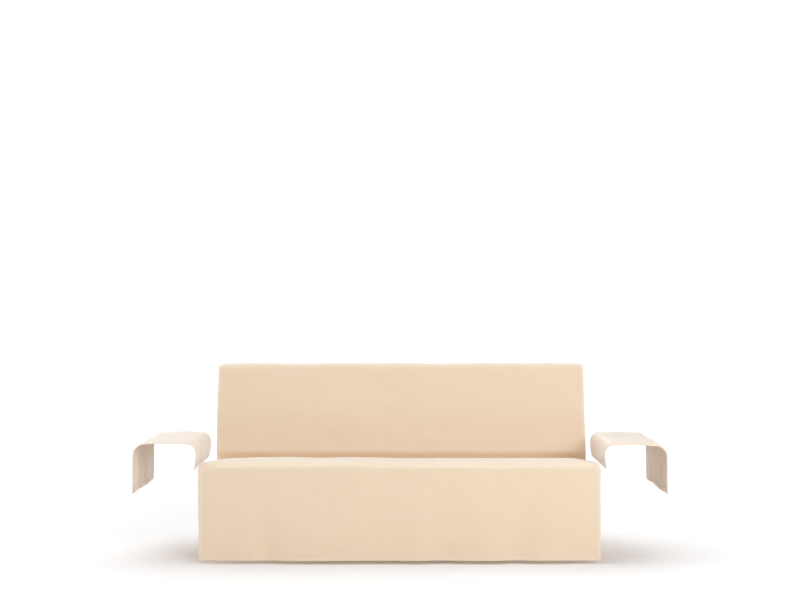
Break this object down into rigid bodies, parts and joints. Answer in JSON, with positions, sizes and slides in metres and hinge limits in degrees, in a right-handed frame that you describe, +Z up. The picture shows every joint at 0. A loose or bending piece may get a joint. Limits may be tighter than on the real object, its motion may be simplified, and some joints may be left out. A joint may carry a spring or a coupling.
{
  "type": "sofa slipcover",
  "caption": "Plain hemmed slipcover set for a sofa: a long panel draped over back, seat and front, with a separate draped cover for each arm, hollow and open below.",
  "frame": {"origin": "underside of the middle of the main panel's top, where the back of a sofa carries it", "axes": "+X to the viewer's right, along the panel's width; +Y to the rear; +Z up; the front drop faces -Y"},
  "size_m": [2.2986, 0.9818, 0.8147],
  "materials": {
    "main_cloth": "matt plain weave, cream",
    "arm_cloth": "matt plain weave, cream"
  },
  "bodies": {
    "root": {"main_panel": "main_cloth", "arm_cover_left": "arm_cloth", "arm_cover_right": "arm_cloth"}
  },
  "joints": []
}
